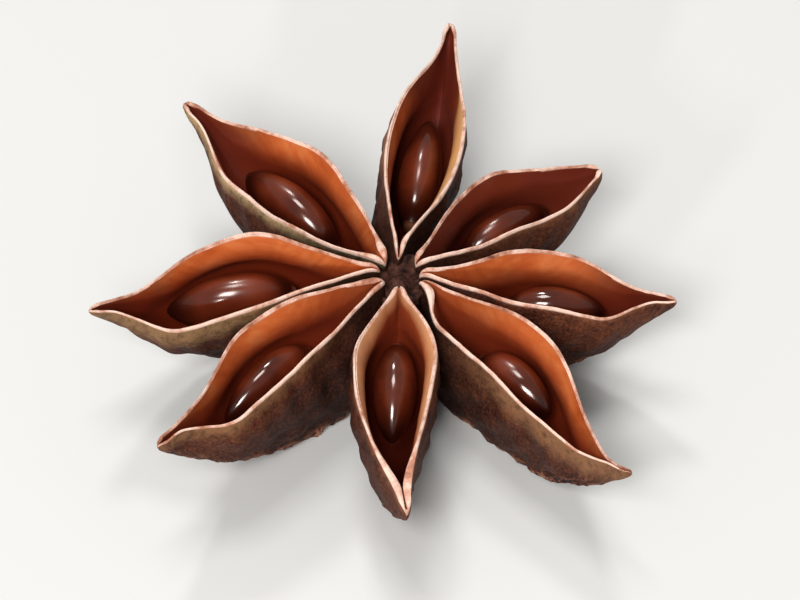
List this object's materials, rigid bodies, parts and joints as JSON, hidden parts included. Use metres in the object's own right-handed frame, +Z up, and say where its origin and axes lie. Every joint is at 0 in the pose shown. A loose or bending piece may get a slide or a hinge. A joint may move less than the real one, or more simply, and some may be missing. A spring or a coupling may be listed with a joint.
{
  "type": "star anise pod",
  "caption": "Dried star-shaped spice fruit of joined boat-shaped pods, split open along the top and each holding a glossy seed.",
  "frame": {"origin": "centre of the bounding box at the height of the surface that the pod rests on", "axes": "+Z up along the pod's axis, with the open slits facing up and the keels down; +X and +Y across the star"},
  "size_m": [0.0316, 0.0324, 0.0102],
  "materials": {
    "husk": "dry woody husk, satin inside and rough outside",
    "seed": "hard glossy seed coat"
  },
  "bodies": {
    "root": {"husk": "husk", "seed_1": "seed", "seed_2": "seed", "seed_3": "seed", "seed_4": "seed", "seed_5": "seed", "seed_6": "seed", "seed_7": "seed", "seed_8": "seed"}
  },
  "joints": []
}
